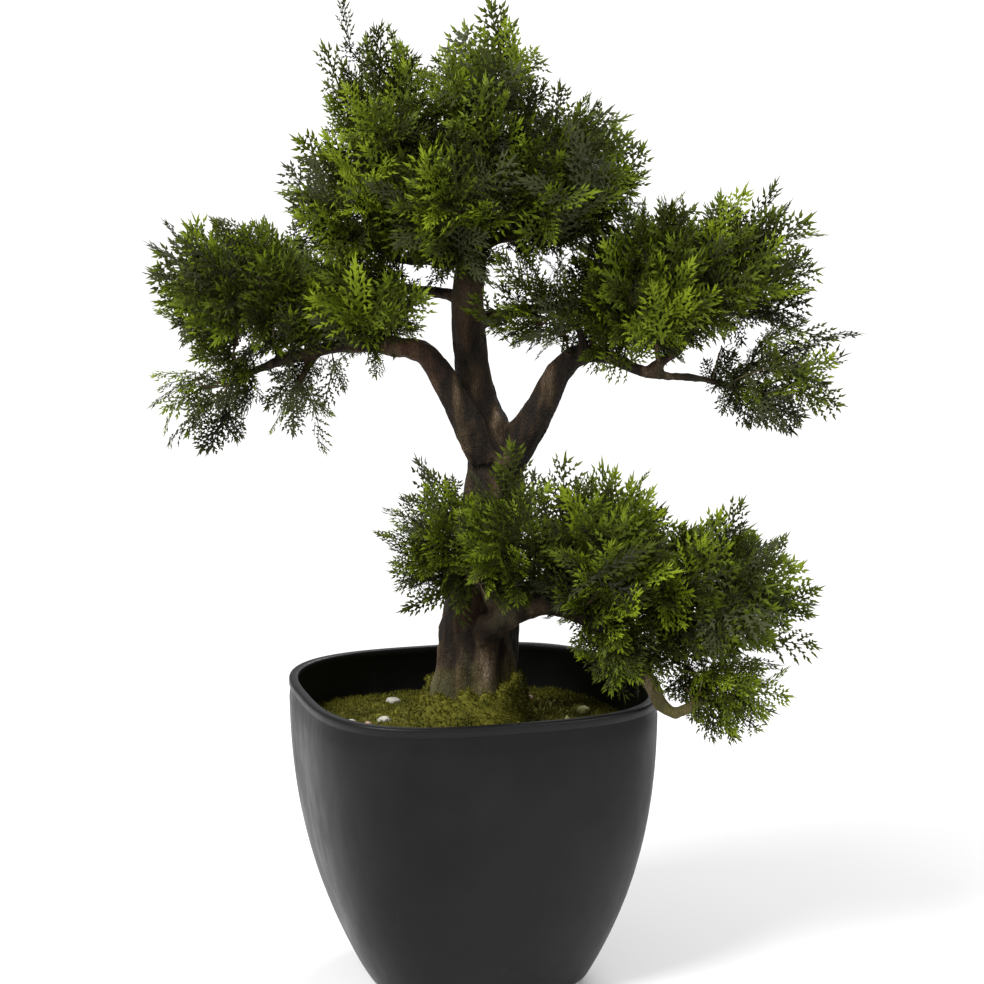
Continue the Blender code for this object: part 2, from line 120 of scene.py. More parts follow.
# Bark
BARK_VOXEL = 1.25 * MM
PLATE_DEPTH = 3.8 * MM
FIBRE_DEPTH = 0.8 * MM
PLATE_SCALE = 62.0
FIBRE_SCALE = 330.0
THIN_LIMB_RELIEF = 0.34
TRUNK_BLEND = 7.0 * MM
THIN_TRUNK = 5.0 * MM
STOUT_RANGE = 10.0 * MM
LEAST_STOUT = 0.15

# Twigs and sprays
TIP_SPACING = 11.0 * MM
TWIG_STEP = 5.0 * MM
TWIG_TIP_RADIUS = 0.36 * MM
TWIG_RADIUS_LIMIT = 1.7 * MM
TWIG_FLARE = 1.25
TWIG_SIDES = 5
PIPE_POWER = 2.3
SPRAY_LENGTH = (28.0 * MM, 40.0 * MM)
SPRAY_KINDS = 4
LEAST_DEPTH = 0.28
OPEN_SPACING = 1.32
OPEN_MASSES = ("mass_left_droop", "mass_left_droop_inner", "mass_right_fan", "mass_right_droop")
BARE_BELOW = ("mass_left_inner", "mass_left_outer", "mass_right_inner", "mass_right_outer", "mass_right_fan")
BARE_SLOPE = -0.45
BARE_SHARE = 0.75
LONG_SHARE = 0.14
LONG_REACH = 6.0 * MM
LONG_FACING = 0.6
SAMPLES_PER_SPOT = 5
FIRST_TIPS = 40

# Headings of the sprays: away from the mass's middle, away from where it grows, and some scatter
AWAY_WEIGHT = 0.50
GROWTH_WEIGHT = 0.75
HEADING_SCATTER = 0.20
SHORTEST_SPRAY = 23.0 * MM
SPRAY_OF_REACH = 0.8
SPRAY_SINK = (0.90, 1.10)
LEAN = (0.0, -0.55, 0.6)
LEAN_AWAY = 0.45
LEAN_SCATTER = 0.55
SIDE_TURN = (34, 62)
SIDE_SCATTER = 0.10
SIDE_SIZE = (0.62, 0.86)
TINT_SHARES = (0.20, 0.29, 0.28, 0.16, 0.07)
SHADOW_SLOPE = -0.25
GREY_SHARE = 0.08
GREY_SHARE_OPEN = 0.30

# Where twigs branch: points on the wood near a mass, and what each way to a tip costs
WOOD_SAMPLES = 16000
ROOT_MARGIN = 6.0 * MM
LEAST_ROOTS = 12
NEAREST_ROOTS = 60
MOST_ROOTS = 260
ROOT_COST = 0.12
BEND_COST = 0.32
RUN_COST = 0.42
TWIG_LEAD = 0.34
TWIG_WANDER = 0.07
TWIG_RISE = 0.05

# Camera: fitted to the planter's rim and outline in the photograph
CAMERA_PLACE = (0.01136, -1.08, 0.41706)
CAMERA_PITCH = math.radians(81.39)
CAMERA_LENS = 78.055
SENSOR_WIDTH = 36.0

# Studio
FLOOR_HALF = 0.62
WORLD_LIGHT = 0.40
WORLD_SEEN = 0.75
LIGHTS = (
    # name, place, target, width, power
    ("key_light", (-1.1, -1.0, 1.5), (0.0, 0.0, 0.25), 1.0, 50.0),
    ("fill_light", (1.3, -0.9, 0.9), (0.0, 0.0, 0.25), 1.0, 12.0),
    ("back_light", (0.5, 1.3, 1.5), (0.0, 0.0, 0.30), 1.2, 22.0),
)

# Greens of the foliage, from dark to bright, and a grey green last
GREENS = (
    (0.007, 0.0088, 0.0008),
    (0.013, 0.0165, 0.0011),
    (0.024, 0.031, 0.0015),
    (0.042, 0.056, 0.002),
    (0.069, 0.095, 0.003),
    (0.110, 0.152, 0.004),
    (0.172, 0.226, 0.010),
    (0.043, 0.050, 0.018),
)
GREY_GREEN = 7
BRIGHTEST = 6


def wood_nodes():
    return sorted(n for n in frame["nodes"] if n.startswith("bough_") or n == "trunk")


def mass_nodes():
    return sorted(n for n in frame["nodes"] if n.startswith("mass_"))


class Wire:
    """An output socket that can be used in arithmetic."""

    def __init__(self, board, socket):
        self.board = board
        self.socket = socket

    def maths(self, operation, other=None, swap=False):
        first, second = (other, self) if swap else (self, other)
        return self.board.node("ShaderNodeMath", {"operation": operation}, {0: first, 1: second})

    def __add__(self, other):
        return self.maths("ADD", other)

    __radd__ = __add__

    def __sub__(self, other):
        return self.maths("SUBTRACT", other)

    def __rsub__(self, other):
        return self.maths("SUBTRACT", other, swap=True)

    def __mul__(self, other):
        return self.maths("MULTIPLY", other)

    __rmul__ = __mul__

    def __gt__(self, other):
        return self.maths("GREATER_THAN", other)


class Board:
    """A node tree and the one way that its nodes are made."""

    def __init__(self, tree):
        self.tree = tree

    def node(self, kind, settings=None, inputs=None, output=0):
        fresh = self.tree.nodes.new(kind)
        for name, value in (settings or {}).items():
            if name == "stops":
                self.set_stops(fresh.color_ramp, value)
            else:
                setattr(fresh, name, value)
        for key, value in (inputs or {}).items():
            if value is None:
                continue
            socket = self.pick(fresh.inputs, key)
            if isinstance(value, Wire):
                self.tree.links.new(value.socket, socket)
            else:
                socket.default_value = value
        return Wire(self, self.pick(fresh.outputs, output))

    @staticmethod
    def pick(sockets, key):
        shown = [socket for socket in sockets if socket.enabled]
        if isinstance(key, int):
            return shown[key]
        return next(socket for socket in shown if socket.name == key)

    @staticmethod
    def set_stops(ramp, stops):
        while len(ramp.elements) < len(stops):
            ramp.elements.new(0.5)
        for element, (place, colour) in zip(ramp.elements, stops):
            element.position = place
            element.color = (*colour, 1.0)

    def mix(self, factor, first, second):
        def colour(value):
            return value if isinstance(value, Wire) else (*value, 1.0)
        return self.node("ShaderNodeMix", {"data_type": "RGBA"}, {
            "Factor": factor, "A": colour(first), "B": colour(second),
        })

    def ramp(self, factor, stops):
        return self.node("ShaderNodeValToRGB", {"stops": stops}, {"Fac": factor})

    def spread(self, value, low, high, to_low=0.0, to_high=1.0):
        return self.node("ShaderNodeMapRange", {"clamp": True}, {
            "Value": value, "From Min": low, "From Max": high, "To Min": to_low, "To Max": to_high,
        })


def new_material(name, roughness, specular=0.5):
    material = bpy.data.materials.new(name)
    material.use_nodes = True
    board = Board(material.node_tree)
    shader = material.node_tree.nodes["Principled BSDF"]
    shader.inputs["Roughness"].default_value = roughness
    shader.inputs["Specular IOR Level"].default_value = specular
    place = board.node("ShaderNodeTexCoord", output="Object")
    return material, board, shader, place


def feed(board, wire, shader, socket):
    board.tree.links.new(wire.socket, shader.inputs[socket])


def cloud(board, place, scale, detail=3.0, roughness=0.55, stretch=None):
    if stretch:
        place = board.node("ShaderNodeMapping", inputs={"Vector": place, "Scale": stretch})
    return board.node("ShaderNodeTexNoise", inputs={
        "Vector": place, "Scale": scale, "Detail": detail, "Roughness": roughness,
    })


def bump(board, height, strength, distance):
    return board.node("ShaderNodeBump", inputs={"Height": height, "Strength": strength, "Distance": distance})


def charcoal_plastic():
    """Dark moulded plastic: faint mottling, fine grain, and a few lighter scuffs in upright streaks."""
    material, board, shader, place = new_material("charcoal_plastic", 0.46, 0.18)
    mottle = cloud(board, place, 26.0, 4.0)
    grain = cloud(board, place, 1500.0, 2.0)
    scuffs = cloud(board, place, 90.0, 5.0, 0.6, (1.0, 1.0, 0.35))
    colour = board.mix(board.spread(mottle, 0.35, 0.7), (0.0046, 0.0046, 0.0047), (0.0078, 0.0077, 0.0078))
    colour = board.mix(board.spread(scuffs, 0.66, 0.8, 0.0, 0.25), colour, (0.035, 0.036, 0.037))
    feed(board, colour, shader, "Base Color")
    feed(board, board.spread(scuffs, 0.3, 0.8, 0.36, 0.54), shader, "Roughness")
    feed(board, bump(board, grain + mottle * 2.0, 0.22, 0.0002), shader, "Normal")
    return material


def grey_filling():
    material, board, shader, place = new_material("grey_filling", 0.95, 0.2)
    grit = cloud(board, place, 420.0, 5.0)
    colour = board.mix(board.spread(grit, 0.3, 0.7), (0.16, 0.15, 0.13), (0.34, 0.32, 0.28))
    feed(board, colour, shader, "Base Color")
    feed(board, bump(board, grit, 0.5, 0.0008), shader, "Normal")
    return material


def dyed_moss():
    material, board, shader, place = new_material("dyed_moss", 0.95, 0.15)
    broad = cloud(board, place, 60.0, 3.0)
    fine = cloud(board, place, 700.0, 3.0)
    colour = board.ramp(board.spread(broad + fine * 0.7, 0.5, 1.2), (
        (0.0, (0.026, 0.026, 0.004)),
        (0.4, (0.085, 0.084, 0.010)),
        (0.75, (0.160, 0.150, 0.018)),
        (1.0, (0.270, 0.240, 0.040)),
    ))
    feed(board, colour, shader, "Base Color")
    feed(board, bump(board, fine, 0.8, 0.0012), shader, "Normal")
    return material


def bark():
    """Moulded bark: painted shade in the grooves, a net of fine fibres, reddish patches, and moss green at
    the foot.
    """
    material, board, shader, place = new_material("bark", 0.8, 0.3)
    # The stored tone is darker in the pushed-in grooves as painted shade, with the fibres' own tone mixed in.
    groove_shade_and_fibre = board.node("ShaderNodeAttribute", {"attribute_name": "relief"}, output="Fac")
    mottle = cloud(board, place, 38.0, 5.0, 0.6)
    fibre = cloud(board, place, 260.0, 6.0, 0.65, (1.0, 1.0, 0.22))
    net = board.node("ShaderNodeTexVoronoi", {"feature": "DISTANCE_TO_EDGE"}, {
        "Vector": board.node("ShaderNodeMapping", inputs={"Vector": place, "Scale": (1.0, 1.0, 0.4)}),
        "Scale": 820.0,
    })
    net = board.spread(net, 0.0, 0.16)
    tone = groove_shade_and_fibre * 0.95 + fibre * 0.75 + mottle * 0.4 - 0.56
    colour = board.ramp(tone, (
        (0.10, (0.006, 0.003, 0.001)),
        (0.34, (0.024, 0.014, 0.006)),
        (0.54, (0.062, 0.039, 0.019)),
        (0.76, (0.125, 0.086, 0.050)),
        (0.97, (0.235, 0.175, 0.115)),
    ))
    patches = cloud(board, place, 24.0, 3.0)
    colour = board.mix(board.spread(patches, 0.52, 0.68, 0.0, 0.6), colour, (0.115, 0.045, 0.024))
    colour = board.mix(board.spread(net, 0.0, 1.0, 0.35, 0.0), colour, (0.016, 0.010, 0.006))
    height = board.node("ShaderNodeSeparateXYZ", inputs={"Vector": place}, output="Z")
    ragged = height + cloud(board, place, 45.0, 4.0) * 0.05
    mossy = board.spread(ragged, 0.165, 0.192, 0.90, 0.0) * board.spread(fibre, 0.30, 0.50, 0.3, 1.0)
    colour = board.mix(mossy, colour, (0.085, 0.088, 0.014))
    lichen = board.spread(mottle + patches, 1.05, 1.25, 0.0, 0.35)
    colour = board.mix(lichen, colour, (0.10, 0.11, 0.06))
    feed(board, colour, shader, "Base Color")
    feed(board, board.spread(tone, 0.1, 0.9, 0.72, 0.9), shader, "Roughness")
    feed(board, bump(board, fibre * 1.2 + net * 0.45, 0.8, 0.0011), shader, "Normal")
    return material


def twig_skin():
    material, board, shader, place = new_material("twig_skin", 0.7, 0.3)
    tone = cloud(board, place, 120.0, 3.0)
    colour = board.ramp(tone, (
        (0.30, (0.030, 0.020, 0.010)),
        (0.50, (0.075, 0.045, 0.022)),
        (0.70, (0.085, 0.085, 0.028)),
    ))
    feed(board, colour, shader, "Base Color")
    feed(board, bump(board, tone, 0.4, 0.0004), shader, "Normal")
    return material


def pebble_stone(name, colour):
    material, board, shader, place = new_material(name, 0.75, 0.35)
    grit = cloud(board, place, 500.0, 5.0)
    dull = tuple(0.55 * part for part in colour)
    feed(board, board.mix(board.spread(grit, 0.35, 0.65), dull, colour), shader, "Base Color")
    feed(board, bump(board, grit, 0.4, 0.0006), shader, "Normal")
    return material


def leaf_green(number, colour):
    """One plain base colour of moulded foliage."""
    material = bpy.data.materials.new("leaf_green_%d" % number)
    material.use_nodes = True
    shader = material.node_tree.nodes["Principled BSDF"]
    shader.inputs["Base Color"].default_value = (*colour, 1.0)
    shader.inputs["Roughness"].default_value = 0.55
    shader.inputs["Specular IOR Level"].default_value = 0.14
    return material


def pale_floor():
    material, board, shader, place = new_material("pale_floor", 0.9, 0.1)
    tone = cloud(board, place, 3.0, 2.0)
    feed(board, board.mix(tone, (0.90, 0.90, 0.90), (0.93, 0.93, 0.93)), shader, "Base Color")
    return material


def show(name, mesh, material=None):
    piece = bpy.data.objects.new(name, mesh)
    bpy.context.scene.collection.objects.link(piece)
    if material:
        mesh.materials.clear()
        mesh.materials.append(material)
    return piece


def mesh_from(name, points, faces, smooth=True):
    mesh = bpy.data.meshes.new(name)
    mesh.from_pydata([tuple(point) for point in points], [], faces)
    mesh.update()
    if smooth:
        mesh.shade_smooth()
    return mesh


def plain_mesh(piece, name):
    """The evaluated mesh of a piece, with its modifiers gone."""
    bpy.context.view_layer.update()
    evaluated = piece.evaluated_get(bpy.context.evaluated_depsgraph_get())
    mesh = bpy.data.meshes.new_from_object(evaluated)
    mesh.name = name
    piece.modifiers.clear()
    piece.data = mesh
    return piece


def rows_to_faces(row_count, side_count):
    """The faces between rings of points, and one at each end."""
    faces = []
    for row in range(row_count - 1):
        for side in range(side_count):
            after = (side + 1) % side_count
            low, high = row * side_count, (row + 1) * side_count
            faces.append((low + side, low + after, high + after, high + side))
    faces.append(tuple(reversed(range(side_count))))
    faces.append(tuple(range((row_count - 1) * side_count, row_count * side_count)))
    return faces


def pot_half_width(height):
    drawn_in = BASE_DRAW_IN * (1 - height / POT_HEIGHT) ** DRAW_IN_POWER
    width = MOUTH_HALF * (1 - drawn_in)
    if height < HEEL_RADIUS:
        width -= HEEL_RADIUS - math.sqrt(HEEL_RADIUS ** 2 - (HEEL_RADIUS - height) ** 2)
    return width


def pot_reach(height, half_width, angle):
    """How far the rounded square reaches from the axis in one direction."""
    squareness = BASE_SQUARENESS + (MOUTH_SQUARENESS - BASE_SQUARENESS) * height / POT_HEIGHT
    turned = angle - POT_TURN
    spread = abs(math.cos(turned)) ** squareness + abs(math.sin(turned)) ** squareness
    return half_width / spread ** (1 / squareness)


def pot_profile():
    """Height and half width from the underside, up over the lip and down the inner wall."""
    turns = [0.5 * math.pi * k / ROUND_STEPS for k in range(ROUND_STEPS + 1)]
    heights = [HEEL_RADIUS * (1 - math.cos(turn)) for turn in turns]
    top_of_wall = POT_HEIGHT - LIP_BAND
    for k in range(1, WALL_STEPS + 1):
        heights.append(HEEL_RADIUS + (top_of_wall - HEEL_RADIUS) * k / WALL_STEPS)
    profile = [(height, pot_half_width(height)) for height in heights]
    under_lip = pot_half_width(top_of_wall)
    profile[-1] = (top_of_wall, under_lip - LIP_STEP)
    profile.append((top_of_wall + LIP_STEP_RISES[0], under_lip - LIP_STEP))
    profile.append((top_of_wall + LIP_STEP_RISES[1], under_lip))
    for turn in turns:
        rise = LIP_ROUND * math.sin(turn)
        profile.append((POT_HEIGHT - LIP_ROUND + rise, MOUTH_HALF - LIP_ROUND * (1 - math.cos(turn))))
    inside = MOUTH_HALF - LIP_WIDTH
    for turn in turns:
        rise = LIP_ROUND * math.cos(turn)
        profile.append((POT_HEIGHT - LIP_ROUND + rise, inside + LIP_ROUND * (1 - math.sin(turn))))
    profile.append((POT_HEIGHT - LIP_HEIGHT, inside))
    profile.append((POT_HEIGHT - LIP_HEIGHT - LIP_ROUND, MOUTH_HALF - WALL))
    for height in (MOSS_EDGE, MOSS_FLOOR, *INNER_WALL_HEIGHTS, FLOOR):
        profile.append((height, pot_half_width(max(height, HEEL_RADIUS)) - WALL))
    return profile


def make_planter():
    profile = pot_profile()
    points = []
    for height, half_width in profile:
        for side in range(POT_SIDES):
            angle = 2 * math.pi * side / POT_SIDES
            reach = pot_reach(height, half_width, angle)
            points.append((reach * math.cos(angle), reach * math.sin(angle), height))
    faces = rows_to_faces(len(profile), POT_SIDES)
    piece = show("planter_shell", mesh_from("planter_shell", points, faces), charcoal_plastic())
    piece.data.polygons[-1].use_smooth = False
    piece.data.polygons[-2].use_smooth = False
    return piece


def make_moss():
    """A closed skin of moss: ragged round the trunk's foot, lumpy on the bed, flat below."""
    wall = pot_half_width(MOSS_EDGE) - WALL - MOSS_GAP
    foot = Vector((*TRUNK_FOOT, 0))
    rows = [[] for _ in range(MOSS_CLIMB_ROWS + MOSS_BED_ROWS + 4)]
    for side in range(MOSS_SIDES):
        angle = 2 * math.pi * side / MOSS_SIDES
        heading = Vector((math.cos(angle), math.sin(angle), 0))
        ragged = noise.fractal(heading * 3.1 + Vector((4.0, 1.0, 7.0)), 1.0, 2.0, 4)
        lean = 0.5 + 0.5 * heading.x
        top = MOSS_CLIMB_LEFT + (MOSS_CLIMB_RIGHT - MOSS_CLIMB_LEFT) * lean + MOSS_RAGGED * ragged
        rows[0].append(foot + heading * MOSS_TOP_RING + Vector((0, 0, top - 1 * MM)))
        for row in range(MOSS_CLIMB_ROWS):
            down = row / MOSS_CLIMB_ROWS
            height = top + (MOSS_LEVEL + 1.5 * MM - top) * down
            share = (height - MOSS_LEVEL) / (MOSS_CLIMB_TOP - MOSS_LEVEL)
            reach = TRUNK_FOOT_RADIUS + (TRUNK_CLIMB_RADIUS - TRUNK_FOOT_RADIUS) * share ** 0.5
            lump = noise.fractal(Vector((heading.x, heading.y, height * 30)) * 2.6, 1.0, 2.0, 4)
            reach += (MOSS_SWELL * down + MOSS_COAT + MOSS_LUMP * lump) if row else -MOSS_TUCK
            rows[row + 1].append(foot + heading * reach + Vector((0, 0, height)))
        start = TRUNK_FOOT_RADIUS + BED_START
        edge = pot_reach(MOSS_EDGE, wall, angle)
        for row in range(MOSS_BED_ROWS):
            out = row / (MOSS_BED_ROWS - 1)
            centre = foot * (1 - out)
            point = centre + heading * (start + (edge - start) * out)
            lump = noise.fractal(Vector((point.x, point.y, 0)) * MOSS_LUMP_SCALE, 1.0, 2.1, 4)
            slope = MOSS_LEVEL + MOSS_HEAP * (1 - out) ** 3 + (MOSS_EDGE - MOSS_LEVEL) * out ** 2
            fade = min(1.0, 6 * out, 10 * (1 - out) + 0.3)
            point.z = slope + MOSS_BUMP * lump * fade
            rows[MOSS_CLIMB_ROWS + 1 + row].append(point)
        reach = edge - MOSS_GAP
        rows[-3].append(heading * reach + Vector((0, 0, MOSS_EDGE - MOSS_SIDE)))
        low = pot_reach(MOSS_FLOOR, pot_half_width(MOSS_FLOOR) - WALL - 2 * MOSS_GAP, angle)
        rows[-2].append(heading * low + Vector((0, 0, MOSS_FLOOR)))
        rows[-1].append(heading * MOSS_LOW_RING + Vector((0, 0, MOSS_FLOOR)))
    points = [point for row in rows for point in row]
    faces = [tuple(reversed(face)) for face in rows_to_faces(len(rows), MOSS_SIDES)]
    return show("moss_skin", mesh_from("moss_skin", points, faces), dyed_moss())


def add_tree(piece, name, build, sockets):
    """Puts a new Geometry Nodes tree on a piece; sockets gives each input's kind and value."""
    tree = bpy.data.node_groups.new(name, "GeometryNodeTree")
    tree.interface.new_socket("Geometry", in_out="INPUT", socket_type="NodeSocketGeometry")
    tree.interface.new_socket("Geometry", in_out="OUTPUT", socket_type="NodeSocketGeometry")
    keys = {}
    for label, (kind, _) in sockets.items():
        keys[label] = tree.interface.new_socket(label, in_out="INPUT", socket_type=kind).identifier
    board = Board(tree)
    entry = tree.nodes.new("NodeGroupInput")
    wires = {socket.name: Wire(board, socket) for socket in entry.outputs if socket.name}
    result = build(board, wires)
    leave = tree.nodes.new("NodeGroupOutput")
    tree.links.new(result.socket, leave.inputs[0])
    modifier = piece.modifiers.new(name, "NODES")
    modifier.node_group = tree
    for label, (_, value) in sockets.items():
        modifier[keys[label]] = value


def named(board, name, kind="FLOAT"):
    return board.node("GeometryNodeInputNamedAttribute", {"data_type": kind}, {"Name": name})


def tuft_mesh():
    """Three crossed blades that lean apart."""
    points = []
    faces = []
    for blade in range(3):
        angle = 2 * math.pi * blade / 3
        along = Vector((math.cos(angle), math.sin(angle), 0))
        across = Vector((-along.y, along.x, 0))
        base = len(points)
        points += [across * -0.16, across * 0.16, along * 0.28 + Vector((0, 0, 0.55)) + across * 0.1,
                   along * 0.62 + Vector((0, 0, 1.0))]
        faces += [(base, base + 1, base + 2), (base, base + 2, base + 3)]
    return mesh_from("tuft", points, faces, smooth=False)


def build_tufts(board, wires):
    spots = board.node("GeometryNodeDistributePointsOnFaces", {"distribute_method": "RANDOM"}, {
        "Mesh": wires["Geometry"], "Density": wires["Density"], "Seed": wires["Seed"],
        "Selection": named(board, "fuzzy") > 0.5,
    })
    turn = Wire(board, spots.socket.node.outputs["Rotation"])
    spin = board.node("FunctionNodeRandomValue", {"data_type": "FLOAT_VECTOR"}, {
        "Min": (-0.5, -0.5, 0.0), "Max": (0.5, 0.5, 6.28), "Seed": wires["Seed"],
    })
    turned = board.node("FunctionNodeRotateRotation", {"rotation_space": "LOCAL"}, {
        "Rotation": turn, "Rotate By": board.node("FunctionNodeEulerToRotation", inputs={"Euler": spin}),
    })
    size = board.node("FunctionNodeRandomValue", {"data_type": "FLOAT"}, {
        "Min": 0.55, "Max": 1.15, "Seed": 3,
    })
    blades = board.node("GeometryNodeObjectInfo", {"transform_space": "ORIGINAL"}, {
        "Object": wires["Tuft"],
    }, output="Geometry")
    placed = board.node("GeometryNodeInstanceOnPoints", inputs={
        "Points": spots, "Instance": blades, "Rotation": turned, "Scale": size * wires["Height"],
    })
    whole = board.node("GeometryNodeRealizeInstances", inputs={"Geometry": placed})
    return board.node("GeometryNodeSetMaterial", inputs={"Geometry": whole, "Material": wires["Material"]})


def make_moss_fuzz(moss):
    """Short blades all over the moss that can be seen."""
    fuzz = show("moss_fuzz", moss.data.copy())
    normals = np.empty(len(fuzz.data.polygons) * 3)
    fuzz.data.polygons.foreach_get("normal", normals)
    centres = np.empty(len(fuzz.data.polygons) * 3)
    fuzz.data.polygons.foreach_get("center", centres)
    centres = centres.reshape(-1, 3)
    upward = (centres[:, 2] > MOSS_EDGE - TUFT_DEPTH) & (normals.reshape(-1, 3)[:, 2] > TUFT_SLOPE)
    fuzzy = fuzz.data.attributes.new("fuzzy", "FLOAT", "FACE")
    fuzzy.data.foreach_set("value", upward.astype(np.float32))
    blades = show("tuft", tuft_mesh())
    add_tree(fuzz, "moss_fuzz", build_tufts, {
        "Density": ("NodeSocketFloat", TUFT_COUNT_PER_AREA),
        "Seed": ("NodeSocketInt", SEED),
        "Height": ("NodeSocketFloat", TUFT_HEIGHT),
        "Tuft": ("NodeSocketObject", blades),
        "Material": ("NodeSocketMaterial", moss.data.materials[0]),
    })
    plain_mesh(fuzz, "moss_fuzz")
    bpy.data.objects.remove(blades, do_unlink=True)
    return fuzz


PEBBLE_LIFT = 1.2 * MM
PEBBLE_DENT = 0.22
PEBBLES = (
    # kind, place across and back in metres, half size across, deep and high in millimetres
    ("pale", (-0.0610, -0.0080), (2.8, 2.6, 3.4)),
    ("pale", (-0.0450, 0.0020), (3.6, 2.4, 2.2)),
    ("pink", (-0.0530, -0.0060), (2.0, 1.8, 1.6)),
    ("pale", (0.0440, -0.0180), (4.2, 3.0, 1.9)),
    ("pink", (0.0425, -0.0080), (3.0, 2.6, 2.6)),
    ("yellow", (0.0490, -0.0110), (4.4, 3.6, 2.8)),
    ("yellow", (0.0500, -0.0110), (2.6, 2.2, 5.4)),
    ("pale", (0.0560, -0.0200), (3.0, 2.6, 2.0)),
    ("yellow", (0.0385, -0.0150), (2.4, 2.0, 1.8)),
    ("pale", (-0.0160, -0.0560), (2.6, 2.2, 1.5)),
    ("pink", (0.0300, 0.0520), (3.6, 3.0, 2.0)),
    ("pale", (-0.0420, 0.0440), (4.0, 3.2, 2.0)),
    ("yellow", (0.0600, 0.0240), (3.6, 3.2, 2.2)),
)
STONE_COLOURS = {
    "pale": (0.52, 0.50, 0.44),
    "pink": (0.42, 0.27, 0.22),
    "yellow": (0.30, 0.31, 0.10),
}


def make_pebbles():
    shape = bmesh.new()
    kinds = sorted(STONE_COLOURS)
    for number, (kind, (x, y), sizes) in enumerate(PEBBLES):
        made = bmesh.ops.create_icosphere(shape, subdivisions=3, radius=1.0)["verts"]
        for vert in made:
            dent = noise.fractal(vert.co * 1.4 + Vector((number * 3.7, 0, 0)), 1.0, 2.0, 3)
            spot = vert.co * (1 + PEBBLE_DENT * dent)
            vert.co = Vector((spot.x * sizes[0], spot.y * sizes[1], spot.z * sizes[2])) * MM
            vert.co += Vector((x, y, MOSS_LEVEL + PEBBLE_LIFT))
        for face in {face for vert in made for face in vert.link_faces}:
            face.material_index = kinds.index(kind)
            face.smooth = True
    mesh = bpy.data.meshes.new("pebbles")
    shape.to_mesh(mesh)
    shape.free()
    for kind in kinds:
        mesh.materials.append(pebble_stone("stone_" + kind, STONE_COLOURS[kind]))
    return show("pebbles", mesh)


def joined_solids(name, nodes):
    """A copy of some CAD solids in one mesh, its doubles merged."""
    shape = bmesh.new()
    for node in nodes:
        shape.from_mesh(frame["nodes"][node].data)
    bmesh.ops.remove_doubles(shape, verts=shape.verts, dist=0.02 * MM)
    mesh = bpy.data.meshes.new(name)
    shape.to_mesh(mesh)
    shape.free()
    return show(name, mesh)


def build_relief(board, wires):
    """Pushes the skin in and out: upright plates on the trunk, fibres everywhere. Stores a tone with painted
    shade in the pushed-in grooves.
    """
    place = board.node("GeometryNodeInputPosition")
    normal = board.node("GeometryNodeInputNormal")

    def stretched(scale, detail, squash, shift):
        moved = board.node("ShaderNodeVectorMath", {"operation": "MULTIPLY_ADD"}, {
            0: place, 1: squash, 2: (shift, shift, shift),
        })
        return board.node("ShaderNodeTexNoise", inputs={"Vector": moved, "Scale": scale, "Detail": detail})
    thick = named(board, "thick")
    upright = stretched(wires["Plate scale"], 3.0, (1.0, 1.0, 0.2), 3.0)
    ridge = 1.0 - (upright - 0.5).maths("ABSOLUTE") * 5.0
    ridge = board.spread(ridge, -0.1, 1.0)
    knots = stretched(wires["Plate scale"] * 0.7, 2.0, (1.0, 1.0, 0.7), 9.0)
    fibre = stretched(wires["Fibre scale"], 4.0, (1.0, 1.0, 0.3), 5.0)
    share = thick * (1.0 - THIN_LIMB_RELIEF) + THIN_LIMB_RELIEF
    depth = (0.55 - ridge) * wires["Plate depth"] * share + (knots - 0.5) * wires["Plate depth"] * 1.6 * share
    depth = depth + (fibre - 0.5) * 2.0 * wires["Fibre depth"] * (thick * 0.6 + 0.4)
    move = board.node("ShaderNodeVectorMath", {"operation": "SCALE"}, {"Vector": normal, "Scale": depth})
    pushed = board.node("GeometryNodeSetPosition", inputs={"Geometry": wires["Geometry"], "Offset": move})
    # Painted shade: the tone is lower along the pushed-in grooves, and the fibres add their own tone.
    tone = board.spread((1.0 - ridge) * 0.65 + fibre * 0.5, 0.15, 0.95)
    kept = board.node("GeometryNodeStoreNamedAttribute", {"data_type": "FLOAT", "domain": "POINT"}, {
        "Geometry": pushed, "Name": "relief", "Value": tone,
    })
    whole = board.node("GeometryNodeRealizeInstances", inputs={"Geometry": kept})
    return board.node("GeometryNodeSetMaterial", inputs={"Geometry": whole, "Material": wires["Material"]})


TRUNK_LINE = (
    # height, place across and back, and radius of the trunk there
    (0.131, 0.0035, 0.0, 0.0275), (0.158, 0.0030, 0.0, 0.0224), (0.200, 0.0058, 0.002, 0.0190),
    (0.256, 0.0123, 0.005, 0.0156), (0.292, 0.0076, 0.006, 0.0122), (0.328, -0.0004, 0.005, 0.0092),
    (0.378, 0.0006, 0.002, 0.0072), (0.446, 0.0070, 0.001, 0.0028),
)


def thickness_of(points):
    """1 on the lower trunk and 0 on thin limbs, by the distance from the trunk's line."""
    line = np.array(TRUNK_LINE)
    x = np.interp(points[:, 2], line[:, 0], line[:, 1])
    y = np.interp(points[:, 2], line[:, 0], line[:, 2])
    radius = np.interp(points[:, 2], line[:, 0], line[:, 3])
    away = np.hypot(points[:, 0] - x, points[:, 1] - y) - radius
    near = np.clip(1 - away / TRUNK_BLEND, 0, 1)
    stout = np.clip((radius - THIN_TRUNK) / STOUT_RANGE, LEAST_STOUT, 1)
    return near * stout


def vertices_of(mesh):
    flat = np.empty(len(mesh.vertices) * 3)
    mesh.vertices.foreach_get("co", flat)
    return flat.reshape(-1, 3)


